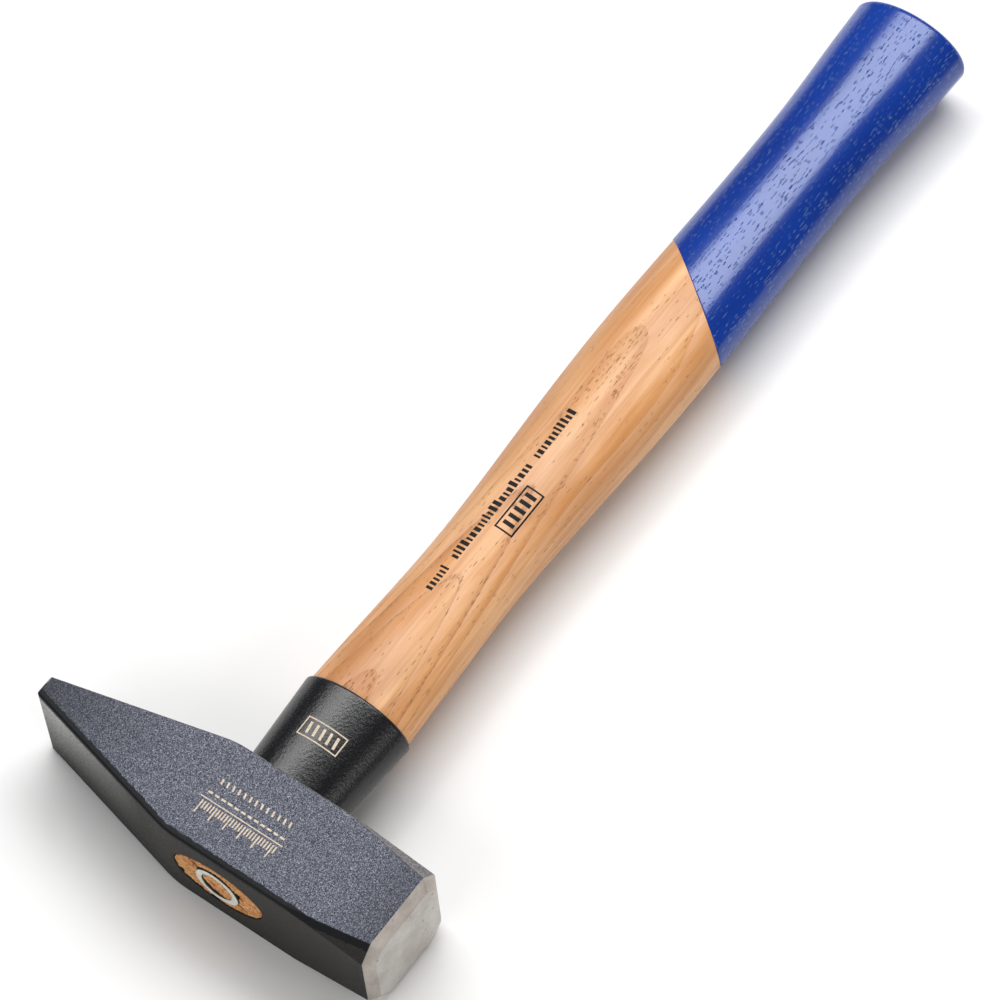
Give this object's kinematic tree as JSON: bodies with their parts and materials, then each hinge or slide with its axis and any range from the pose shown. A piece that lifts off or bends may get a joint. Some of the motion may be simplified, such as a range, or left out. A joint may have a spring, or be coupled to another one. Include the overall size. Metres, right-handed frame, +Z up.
{
  "type": "cross-peen hammer",
  "caption": "Hand hammer with a square forged head, wedge-shaped cross peen, bevelled flat face, steel guard sleeve and oval hickory handle with a lacquered grip.",
  "frame": {"origin": "on the lower cheek of the head, straight below the middle of the eye, so Z = 0 is the surface that the hammer lies on", "axes": "+X along the handle from the eye to the grip end, +Y along the head from the striking face to the peen, +Z up, square to the cheeks"},
  "size_m": [0.3518, 0.129, 0.034],
  "materials": {
    "forged_black": "matte",
    "hickory": "satin",
    "sleeve_black": "satin",
    "wedge_steel": "satin",
    "blue_lacquer": "gloss"
  },
  "bodies": {
    "root": {"hammer_head": "forged_black", "handle": "hickory", "handle_sleeve": "sleeve_black", "ring_wedge": "wedge_steel", "grip_coating": "blue_lacquer"}
  },
  "joints": []
}
